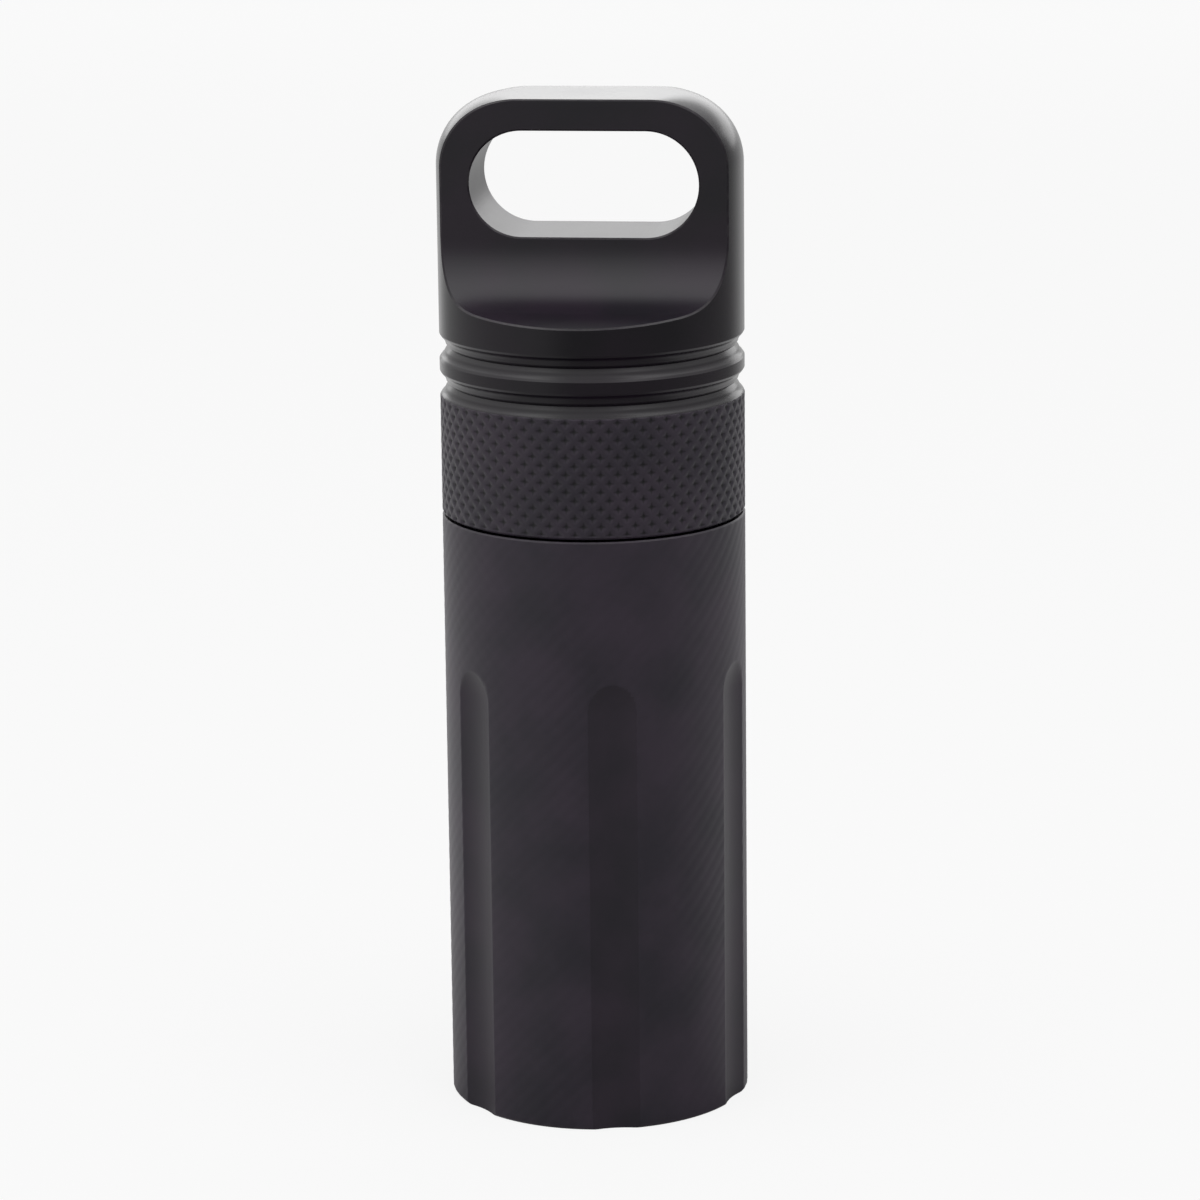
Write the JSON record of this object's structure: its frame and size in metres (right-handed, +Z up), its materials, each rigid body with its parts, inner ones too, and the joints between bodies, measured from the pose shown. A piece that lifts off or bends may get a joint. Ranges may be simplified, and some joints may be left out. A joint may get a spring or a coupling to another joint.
{
  "type": "waterproof capsule",
  "caption": "Round screw-top waterproof capsule: fluted tube, knurled cap with turned grooves and a slotted tang, O-ring seals and a seal disc.",
  "frame": {"origin": "centre of the tube's flat base, on the capsule's axis", "axes": "+Z up along the capsule's axis to the tang, -Y out of the tang's front face, +X to the right seen from the front"},
  "size_m": [0.0302, 0.0302, 0.1017],
  "materials": {
    "tube_metal": "black anodised, finely textured",
    "cap_metal": "black anodised, satin, knurled band",
    "o_ring_rubber": "smooth black rubber",
    "seal_silicone": "matt pale silicone"
  },
  "bodies": {
    "tube": {"body_tube": "tube_metal", "lower_o_ring": "o_ring_rubber", "upper_o_ring": "o_ring_rubber"},
    "disc": {"seal_disc": "seal_silicone"},
    "cap": {"screw_cap": "cap_metal"}
  },
  "joints": [
    {"name": "cap_lift", "type": "slide", "parent": "tube", "child": "disc", "axis": [0, 0, 1], "range_m": [0, 0.013]},
    {"name": "cap_turn", "type": "hinge", "parent": "disc", "child": "cap", "pos_m": [0, 0, 0.081], "axis": [0, 0, 1], "range_deg": [0, 2341]}
  ],
  "couplings": [
    {"joint": "cap_turn", "follows": "cap_lift", "rad_per_m": 3141.6}
  ]
}
